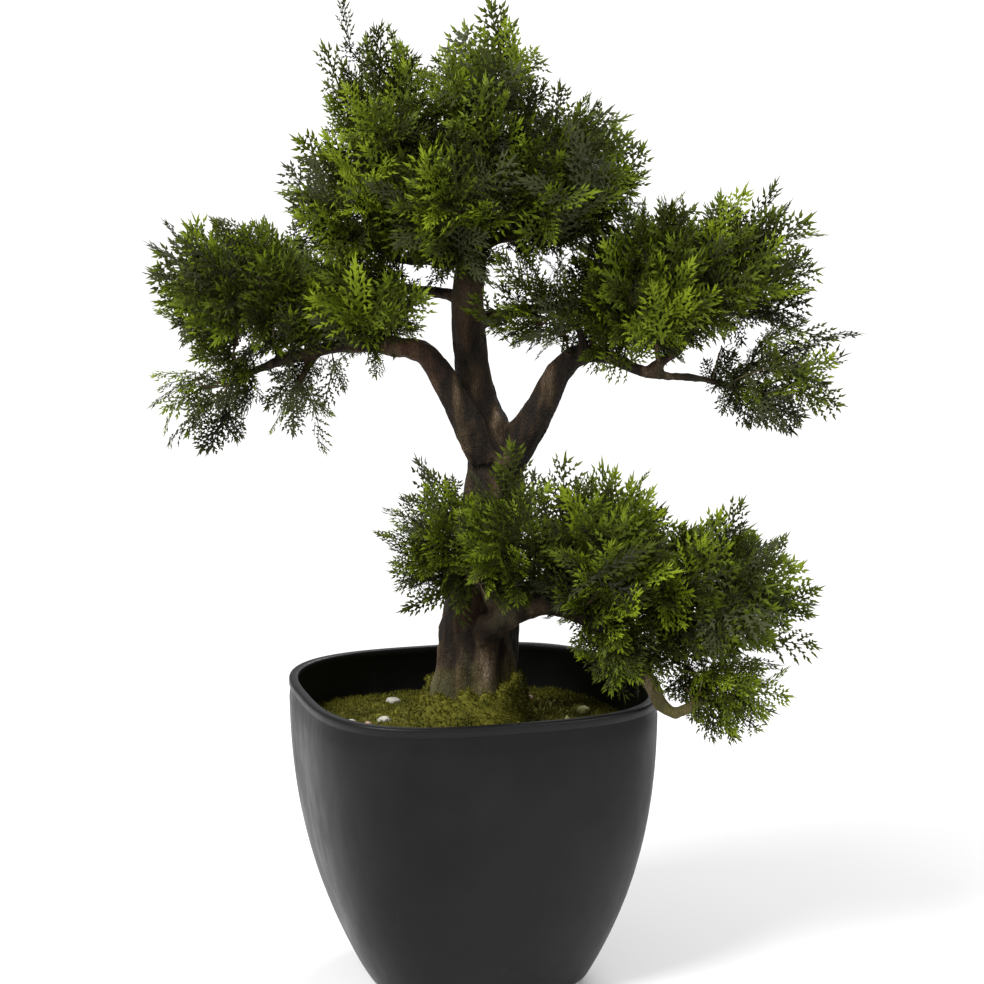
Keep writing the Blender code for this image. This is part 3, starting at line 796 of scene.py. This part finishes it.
def make_bark():
    """One skin over the trunk and all the boughs."""
    skin = joined_solids("bark_skin", wood_nodes())
    remesh = skin.modifiers.new("skin", "REMESH")
    remesh.mode = "VOXEL"
    remesh.voxel_size = BARK_VOXEL
    remesh.use_smooth_shade = True
    smooth = skin.modifiers.new("soften", "SMOOTH")
    smooth.factor = 0.5
    smooth.iterations = 4
    plain_mesh(skin, "bark_skin")
    thick = skin.data.attributes.new("thick", "FLOAT", "POINT")
    thick.data.foreach_set("value", thickness_of(vertices_of(skin.data)).astype(np.float32))
    add_tree(skin, "bark_relief", build_relief, {
        "Plate scale": ("NodeSocketFloat", PLATE_SCALE),
        "Plate depth": ("NodeSocketFloat", PLATE_DEPTH),
        "Fibre scale": ("NodeSocketFloat", FIBRE_SCALE),
        "Fibre depth": ("NodeSocketFloat", FIBRE_DEPTH),
        "Material": ("NodeSocketMaterial", bark()),
    })
    plain_mesh(skin, "bark_skin")
    skin.data.shade_smooth()
    return skin


class SprayCard:
    """Collects the lobes and stems of one flat spray, 1 long, lying in XY and pointing along +X."""

    def __init__(self, droop, cup):
        self.points = []
        self.faces = []
        self.shades = []
        self.droop = droop
        self.cup = cup

    def add(self, flat_points, faces, painted_light_step, lift=0.0):
        base = len(self.points)
        for x, y, z in flat_points:
            bent = z + lift - self.droop * max(x, 0.0) ** 2 - self.cup * y * y
            self.points.append((x, y, bent))
        self.faces += [tuple(base + corner for corner in face) for face in faces]
        self.shades += [painted_light_step] * len(faces)

    def lobe(self, x, y, angle, length, width, painted_light_step, lift=0.0):
        """A pointed leaf with a fold along its middle."""
        c, s = math.cos(angle), math.sin(angle)
        tilt = LOBE_TILT * math.sin(91.0 * x + 57.0 * y)

        def at(along, across, up):
            return (x + along * c - across * s, y + along * s + across * c, up + tilt * along)
        widest = LOBE_WIDEST * length
        self.add((at(LOBE_FOOT * length, 0, 0), at(widest, 0.5 * width, -LOBE_FOLD),
                  at(length, 0, -LOBE_TIP_DROP), at(widest, -0.5 * width, -LOBE_FOLD)),
                 ((0, 2, 1), (0, 3, 2)), painted_light_step, lift)

    def stem(self, x, y, angle, length, width, painted_light_step, lift=0.0):
        c, s = math.cos(angle), math.sin(angle)
        half = 0.5 * width
        self.add(((x + half * s, y - half * c, 0.002), (x - half * s, y + half * c, 0.002),
                  (x + length * c, y + length * s, 0.002)), ((0, 2, 1),), painted_light_step, lift)


# Sizes on a spray that is 1 long
MAIN_STEM_START = -0.04
MAIN_STEM_LENGTH = 0.98
MAIN_STEM_WIDTH = 0.052
SIDE_STEM_WIDTH = 0.040
FIRST_BRANCHLET = 0.06
BRANCHLET_RUN = 0.72
LOBE_STEP = 0.050
LOBE_LENGTH = (0.080, 0.105)
LOBE_WIDTH = 0.050
LOBE_TURN = (34, 52)
END_LOBE = (0.12, 0.044)
TIP_LOBES = 6
TIP_LOBES_START = 0.70
TIP_LOBE_STEP = 0.038
TIP_LOBE = (0.095, 0.046)
TIP_LOBE_TURN = (22, 38)
LAST_LOBE_START = 0.83
LAST_LOBE = (0.22, 0.048)
LOBE_FOOT = -0.12
LOBE_WIDEST = 0.27
LOBE_FOLD = 0.014
LOBE_TIP_DROP = 0.004
LOBE_TILT = 0.38
SPRAY_SHAPES = (
    # number of side branchlets, the longest one, its angle in degrees, and how far the spray bends
    dict(branchlets=11, longest=0.36, angle=50, droop=0.12, cup=0.30),
    dict(branchlets=9, longest=0.44, angle=56, droop=0.22, cup=0.50),
    dict(branchlets=12, longest=0.28, angle=44, droop=0.38, cup=0.20),
    dict(branchlets=8, longest=0.38, angle=48, droop=0.05, cup=0.75),
)


def spray_mesh(kind):
    rule = SPRAY_SHAPES[kind]
    draw = np.random.default_rng(SEED + 100 + kind)
    card = SprayCard(rule["droop"], rule["cup"])
    count = rule["branchlets"]
    card.stem(MAIN_STEM_START, 0, 0, MAIN_STEM_LENGTH, MAIN_STEM_WIDTH, 0)
    for k in range(count):
        part = k / (count - 1)
        x = FIRST_BRANCHLET + BRANCHLET_RUN * part
        side = 1 if k % 2 else -1
        envelope = math.sin(math.pi * (0.22 + 0.72 * part)) ** 0.8
        length = rule["longest"] * envelope * draw.uniform(0.82, 1.12)
        angle = side * math.radians(rule["angle"] - 16 * part + draw.uniform(-6, 6))
        lift = draw.uniform(-0.035, 0.035)
        card.stem(x, 0, angle, length, SIDE_STEM_WIDTH, 0, lift)
        lobes = max(3, int(length / LOBE_STEP))
        for j in range(lobes):
            along = (j + 0.45) / lobes * length * 0.93
            hand = 1 if j % 2 else -1
            turn = angle + hand * math.radians(draw.uniform(*LOBE_TURN))
            size = draw.uniform(*LOBE_LENGTH) * (1.0 - 0.25 * j / lobes)
            # Painted light on each lobe: lobes on the inner part of a branchlet stay a step darker as painted
            # shade, and end lobes and the outer tip lobes are a step lighter as painted highlight.
            painted_light_step = 0 if along < 0.4 * length else 1
            spot = (x + along * math.cos(angle), along * math.sin(angle))
            card.lobe(*spot, turn, size, LOBE_WIDTH, painted_light_step, lift)
        end = length * 0.9
        card.lobe(x + end * math.cos(angle), end * math.sin(angle), angle, *END_LOBE, 2, lift)
    for j in range(TIP_LOBES):
        hand = 1 if j % 2 else -1
        turn = hand * math.radians(draw.uniform(*TIP_LOBE_TURN))
        card.lobe(TIP_LOBES_START + TIP_LOBE_STEP * j, 0, turn, *TIP_LOBE, 1 if j < TIP_LOBES / 2 else 2)
    card.lobe(LAST_LOBE_START, 0, 0, *LAST_LOBE, 2)
    mesh = mesh_from("spray_%d" % kind, card.points, card.faces, smooth=False)
    painted_light_step = mesh.attributes.new("lobe_shade", "INT", "FACE")
    painted_light_step.data.foreach_set("value", np.array(card.shades, dtype=np.int32))
    return mesh


def build_sprays(board, wires):
    """A spray on every point, turned by heading and up, then painted by its tint and by each lobe's step of
    painted shade and highlight.
    """
    turn = board.node("FunctionNodeAxesToRotation", {"primary_axis": "X", "secondary_axis": "Z"}, {
        "Primary Axis": named(board, "heading", "FLOAT_VECTOR"),
        "Secondary Axis": named(board, "up", "FLOAT_VECTOR"),
    })
    kinds = board.node("GeometryNodeCollectionInfo", {"transform_space": "ORIGINAL"}, {
        "Collection": wires["Sprays"], "Separate Children": True, "Reset Children": True,
    })
    placed = board.node("GeometryNodeInstanceOnPoints", inputs={
        "Points": wires["Geometry"], "Instance": kinds, "Pick Instance": True,
        "Instance Index": named(board, "kind", "INT"), "Rotation": turn,
        "Scale": named(board, "length", "FLOAT_VECTOR"),
    })
    whole = board.node("GeometryNodeRealizeInstances", inputs={"Geometry": placed})
    # A lobe's green is its spray's tint plus the lobe's step of painted shade and highlight.
    tint = named(board, "tint", "INT")
    level = (tint + named(board, "lobe_shade", "INT")).maths("MINIMUM", float(BRIGHTEST))
    grey = tint > BRIGHTEST + 0.5
    level = level + grey * (GREY_GREEN - level)
    for number in range(len(GREENS)):
        chosen = board.node("FunctionNodeCompare", {"data_type": "FLOAT", "operation": "EQUAL"}, {
            "A": level, "B": float(number), "Epsilon": 0.5,
        })
        whole = board.node("GeometryNodeSetMaterial", inputs={
            "Geometry": whole, "Selection": chosen, "Material": wires["Green %d" % number],
        })
    return whole


def build_twigs(board, wires):
    """A round tapering twig along every chain of edges."""
    curves = board.node("GeometryNodeMeshToCurve", inputs={"Mesh": wires["Geometry"]})
    ring = board.node("GeometryNodeCurvePrimitiveCircle", inputs={
        "Resolution": wires["Sides"], "Radius": 1.0,
    })
    tubes = board.node("GeometryNodeCurveToMesh", inputs={
        "Curve": curves, "Profile Curve": ring, "Scale": named(board, "twig_radius"), "Fill Caps": True,
    })
    whole = board.node("GeometryNodeRealizeInstances", inputs={"Geometry": tubes})
    return board.node("GeometryNodeSetMaterial", inputs={"Geometry": whole, "Material": wires["Material"]})


def unit(vectors):
    vectors = np.asarray(vectors, dtype=float)
    return vectors / np.maximum(np.linalg.norm(vectors, axis=-1, keepdims=True), 1e-9)


def surface_samples(mesh, draw, spacing):
    """Points spread evenly over a mesh: many random ones, thinned to the spacing."""
    mesh.calc_loop_triangles()
    points = vertices_of(mesh)
    corners = np.empty(len(mesh.loop_triangles) * 3, dtype=np.int32)
    mesh.loop_triangles.foreach_get("vertices", corners)
    triangles = points[corners.reshape(-1, 3)]
    first_side = triangles[:, 1] - triangles[:, 0]
    second_side = triangles[:, 2] - triangles[:, 0]
    area = 0.5 * np.linalg.norm(np.cross(first_side, second_side), axis=1)
    wanted = int(area.sum() / spacing ** 2 * SAMPLES_PER_SPOT)
    picked = draw.choice(len(triangles), wanted, p=area / area.sum())
    a, b = draw.random((2, wanted, 1))
    folded = a + b > 1
    a = np.where(folded, 1 - a, a)
    b = np.where(folded, 1 - b, b)
    loose = triangles[picked, 0] * (1 - a - b) + triangles[picked, 1] * a + triangles[picked, 2] * b
    centre = points.mean(axis=0)
    tips = points[np.argsort(-np.linalg.norm(points - centre, axis=1))]
    kept = []
    for point in np.vstack((tips[:FIRST_TIPS], loose)):
        if all(np.sum((point - other) ** 2) > spacing ** 2 for other in kept):
            kept.append(point)
    return np.array(kept), centre


class Limbs:
    """A growing set of twig points, each with a parent, that new twigs branch from."""

    def __init__(self, roots):
        self.place = [np.array(root) for root in roots]
        self.parent = [-1] * len(roots)
        self.run = [0.0] * len(roots)
        self.way = [np.zeros(3)] * len(roots)
        self.root_count = len(roots)

    def grow(self, tip, draw):
        """Branches towards a tip from the point that costs least, and returns the new chain."""
        places = np.array(self.place)
        gap = tip - places
        distance = np.linalg.norm(gap, axis=1)
        forward = np.sum(unit(gap) * np.array(self.way), axis=1)
        is_root = np.arange(len(places)) < self.root_count
        extra = np.where(is_root, ROOT_COST, BEND_COST * (1 - forward))
        cost = distance * (1.0 + extra) + RUN_COST * np.array(self.run)
        start = int(np.argmin(cost))
        origin = places[start]
        length = distance[start]
        steps = max(2, int(round(length / TWIG_STEP)))
        lead = self.way[start] * TWIG_LEAD * length + draw.normal(0, TWIG_WANDER, 3) * length
        lead[2] += TWIG_RISE * length
        control = origin + 0.45 * (tip - origin) + lead * 0.6
        chain = [start]
        for step in range(1, steps + 1):
            t = step / steps
            point = (1 - t) ** 2 * origin + 2 * t * (1 - t) * control + t * t * tip
            self.place.append(point)
            self.parent.append(chain[-1])
            self.run.append(self.run[chain[-1]] + length / steps)
            self.way.append(unit(point - self.place[chain[-1]]))
            chain.append(len(self.place) - 1)
        return chain

    def radii(self, ends):
        """The pipe rule: a twig's section carries the sections of all that grows from it."""
        load = np.zeros(len(self.place))
        for end in ends:
            load[end] += TWIG_TIP_RADIUS ** PIPE_POWER
        for number in range(len(self.place) - 1, self.root_count - 1, -1):
            load[self.parent[number]] += load[number]
        return np.minimum(load ** (1 / PIPE_POWER), TWIG_RADIUS_LIMIT)


# Where the sprays of each mass grow away from, and how far they lift: the first name that fits counts
GROWTH = (
    ("mass_left_droop_inner", (-0.072, -0.018, 0.335), -0.15),
    ("mass_left_droop", (-0.088, -0.018, 0.330), -0.15),
    ("mass_right_droop", (0.108, -0.012, 0.322), -0.05),
    ("mass_low_droop", (0.096, -0.046, 0.172), -0.05),
    ("mass_low_inner", (0.056, -0.040, 0.205), -0.10),
    ("mass_low_left", (0.008, -0.020, 0.215), 0.25),
    ("mass_low", (0.040, -0.022, 0.198), 0.28),
    ("mass_left", (-0.050, -0.004, 0.318), 0.25),
    ("mass_right", (0.070, -0.004, 0.316), 0.28),
    ("mass_crown", (0.000, 0.004, 0.360), 0.25),
    ("mass_peak", (-0.010, 0.002, 0.380), 0.35),
)


def growth_of(name):
    return next((np.array(origin), lift) for start, origin, lift in GROWTH if name.startswith(start))


def plan_mass(name, wood_points, draw):
    """The twigs of one mass and the sprays on them."""
    spacing = TIP_SPACING * (OPEN_SPACING if name in OPEN_MASSES else 1.0)
    tips, centre = surface_samples(frame["nodes"][name].data, draw, spacing)
    if name in BARE_BELOW:
        below = unit(tips - centre)[:, 2] < BARE_SLOPE
        tips = tips[~below | (draw.random(len(tips)) > BARE_SHARE)]
    reach = np.linalg.norm(tips - centre, axis=1)
    away = unit(tips - centre)
    origin, lift = growth_of(name)
    scatter = draw.normal(0, HEADING_SCATTER, tips.shape)
    heading = AWAY_WEIGHT * away + GROWTH_WEIGHT * unit(tips - origin) + scatter
    heading = unit(heading + np.array((0, 0, lift)))
    short = np.maximum(0.0, LEAST_DEPTH - np.sum(heading * away, axis=1))
    heading = unit(heading + away * short[:, None])
    longest = np.maximum(SHORTEST_SPRAY, SPRAY_OF_REACH * reach)
    lengths = np.minimum(draw.uniform(*SPRAY_LENGTH, len(tips)), longest)
    long = (draw.random(len(tips)) < LONG_SHARE) & (np.sum(heading * away, axis=1) > LONG_FACING)
    ends = tips - heading * (lengths * draw.uniform(*SPRAY_SINK, len(tips)) - long * LONG_REACH)[:, None]
    to_centre = np.linalg.norm(wood_points - centre, axis=1)
    roots = wood_points[to_centre < reach.max() + ROOT_MARGIN]
    if len(roots) < LEAST_ROOTS:
        roots = wood_points[np.argsort(to_centre)[:NEAREST_ROOTS]]
    roots = roots[draw.permutation(len(roots))[:MOST_ROOTS]]
    limbs = Limbs(roots)
    nearest = np.array([np.min(np.linalg.norm(roots - end, axis=1)) for end in ends])
    chains = {}
    for number in np.argsort(nearest):
        chains[int(number)] = limbs.grow(ends[number], draw)
    radius = limbs.radii([chain[-1] for chain in chains.values()])
    sprays = []
    for number, chain in sorted(chains.items()):
        main = heading[number]
        lean = unit(np.array(LEAN) + LEAN_AWAY * away[number] + draw.normal(0, LEAN_SCATTER, 3))
        base = int(draw.choice(len(TINT_SHARES), p=TINT_SHARES))
        shadow = 1 if away[number][2] < SHADOW_SLOPE else 0
        tint = max(0, base + 1 - shadow)
        if draw.random() < (GREY_SHARE_OPEN if name in OPEN_MASSES else GREY_SHARE):
            tint = GREY_GREEN
        length = lengths[number]
        sprays.append((limbs.place[chain[-1]], main, lean, length, int(draw.integers(SPRAY_KINDS)), tint))
        side_way = unit(np.cross(lean, main))
        for hand in (-1, 1):
            spot = chain[max(1, len(chain) - 1 - int(draw.integers(1, 3)))]
            turn = math.radians(draw.uniform(*SIDE_TURN)) * hand
            scatter = draw.normal(0, SIDE_SCATTER, 3)
            aside = unit(main * math.cos(turn) + side_way * math.sin(turn) + scatter)
            size = length * draw.uniform(*SIDE_SIZE)
            own = tint if tint == GREY_GREEN else max(0, tint + int(draw.integers(-1, 1)))
            kind = int(draw.integers(SPRAY_KINDS))
            sprays.append((limbs.place[spot], aside, lean, size, kind, own))
    return limbs, chains, radius, sprays


def store(mesh, name, kind, values):
    layer = mesh.attributes.new(name, kind, "POINT")
    field = "vector" if kind == "FLOAT_VECTOR" else "value"
    dtype = np.int32 if kind == "INT" else np.float32
    layer.data.foreach_set(field, np.asarray(values, dtype=dtype).ravel())


def leaf_piece(name, sprays, collection, greens):
    mesh = mesh_from(name, [spray[0] for spray in sprays], [], smooth=False)
    store(mesh, "heading", "FLOAT_VECTOR", [spray[1] for spray in sprays])
    store(mesh, "up", "FLOAT_VECTOR", [spray[2] for spray in sprays])
    store(mesh, "length", "FLOAT_VECTOR", [[spray[3]] * 3 for spray in sprays])
    store(mesh, "kind", "INT", [spray[4] for spray in sprays])
    store(mesh, "tint", "INT", [spray[5] for spray in sprays])
    piece = show(name, mesh)
    sockets = {"Sprays": ("NodeSocketCollection", collection)}
    for number, green in enumerate(greens):
        sockets["Green %d" % number] = ("NodeSocketMaterial", green)
    add_tree(piece, "sprays", build_sprays, sockets)
    return plain_mesh(piece, name)


def twig_piece(name, plans, material):
    points = []
    edges = []
    radii = []
    for limbs, chains, radius, _ in plans:
        for chain in chains.values():
            base = len(points)
            for spot in chain:
                points.append(tuple(limbs.place[spot]))
                radii.append(radius[spot])
            radii[base] = min(radii[base], radii[base + 1] * TWIG_FLARE)
            edges += [(base + k, base + k + 1) for k in range(len(chain) - 1)]
    mesh = bpy.data.meshes.new(name)
    mesh.from_pydata(points, edges, [])
    store(mesh, "twig_radius", "FLOAT", radii)
    piece = show(name, mesh)
    add_tree(piece, "twigs", build_twigs, {
        "Sides": ("NodeSocketInt", TWIG_SIDES),
        "Material": ("NodeSocketMaterial", material),
    })
    plain_mesh(piece, name)
    piece.data.shade_smooth()
    return piece


TWIG_GROUPS = {
    "twigs_high": ("mass_crown", "mass_peak"),
    "twigs_left": ("mass_left",),
    "twigs_right": ("mass_right",),
    "twigs_low": ("mass_low",),
}


def make_foliage(bark_skin):
    """The leaves of every mass, each a piece of its own, and the twigs of each part of the tree."""
    collection = bpy.data.collections.new("spray_kinds")
    for kind in range(SPRAY_KINDS):
        card = bpy.data.objects.new("spray_%d" % kind, spray_mesh(kind))
        collection.objects.link(card)
    greens = [leaf_green(number, colour) for number, colour in enumerate(GREENS)]
    draw = np.random.default_rng(SEED)
    wood_points = vertices_of(bark_skin.data)
    wood_points = wood_points[draw.permutation(len(wood_points))[:WOOD_SAMPLES]]
    skin = twig_skin()
    plans = {}
    for number, name in enumerate(mass_nodes()):
        plans[name] = plan_mass(name, wood_points, np.random.default_rng(SEED + 1 + number))
        piece = leaf_piece("leaves_" + name.removeprefix("mass_"), plans[name][3], collection, greens)
        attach(piece, "root")
        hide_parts(name)
    for name, starts in TWIG_GROUPS.items():
        piece = twig_piece(name, [plans[mass] for mass in plans if mass.startswith(starts)], skin)
        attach(piece, "root")
    for card in list(collection.objects):
        bpy.data.objects.remove(card, do_unlink=True)
    bpy.data.collections.remove(collection)


def add_light(name, place, target, width, power):
    light = bpy.data.lights.new(name, "AREA")
    light.shape = "DISK"
    light.size = width
    light.energy = power
    lamp = bpy.data.objects.new(name, light)
    aim = Vector(target) - Vector(place)
    lamp.location = place
    lamp.rotation_euler = aim.to_track_quat("-Z", "Y").to_euler()
    bpy.context.scene.collection.objects.link(lamp)


def set_stage():
    corners = [(x * FLOOR_HALF, y * FLOOR_HALF, 0) for x, y in ((-1, -1), (1, -1), (1, 1), (-1, 1))]
    floor = show("floor", mesh_from("floor", corners, [(0, 1, 2, 3)], smooth=False), pale_floor())
    for light in LIGHTS:
        add_light(*light)
    world = bpy.data.worlds.new("studio")
    world.use_nodes = True
    board = Board(world.node_tree)
    seen = board.node("ShaderNodeLightPath", output="Is Camera Ray")
    strength = WORLD_LIGHT + seen * WORLD_SEEN
    back = world.node_tree.nodes["Background"]
    back.inputs["Color"].default_value = (1.0, 1.0, 1.0, 1.0)
    feed(board, strength, back, "Strength")
    bpy.context.scene.world = world
    bpy.context.scene.view_settings.view_transform = "Standard"


def set_camera():
    lens = bpy.data.cameras.new("camera")
    lens.lens = CAMERA_LENS
    lens.sensor_width = SENSOR_WIDTH
    lens.sensor_fit = "HORIZONTAL"
    lens.clip_start = 0.02
    camera = bpy.data.objects.new("camera", lens)
    camera.location = CAMERA_PLACE
    camera.rotation_euler = (CAMERA_PITCH, 0.0, 0.0)
    bpy.context.scene.collection.objects.link(camera)
    bpy.context.scene.camera = camera


def main():
    set_camera()
    set_stage()
    planter = make_planter()
    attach(planter, "root")
    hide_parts("pot")
    plug = frame["nodes"]["plug"]
    plug.data.materials.clear()
    plug.data.materials.append(grey_filling())
    moss = make_moss()
    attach(moss, "root")
    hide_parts("moss_bed")
    fuzz = make_moss_fuzz(moss)
    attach(fuzz, "root")
    pebbles = make_pebbles()
    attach(pebbles, "root")
    skin = make_bark()
    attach(skin, "root")
    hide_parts(*wood_nodes())
    make_foliage(skin)


main()
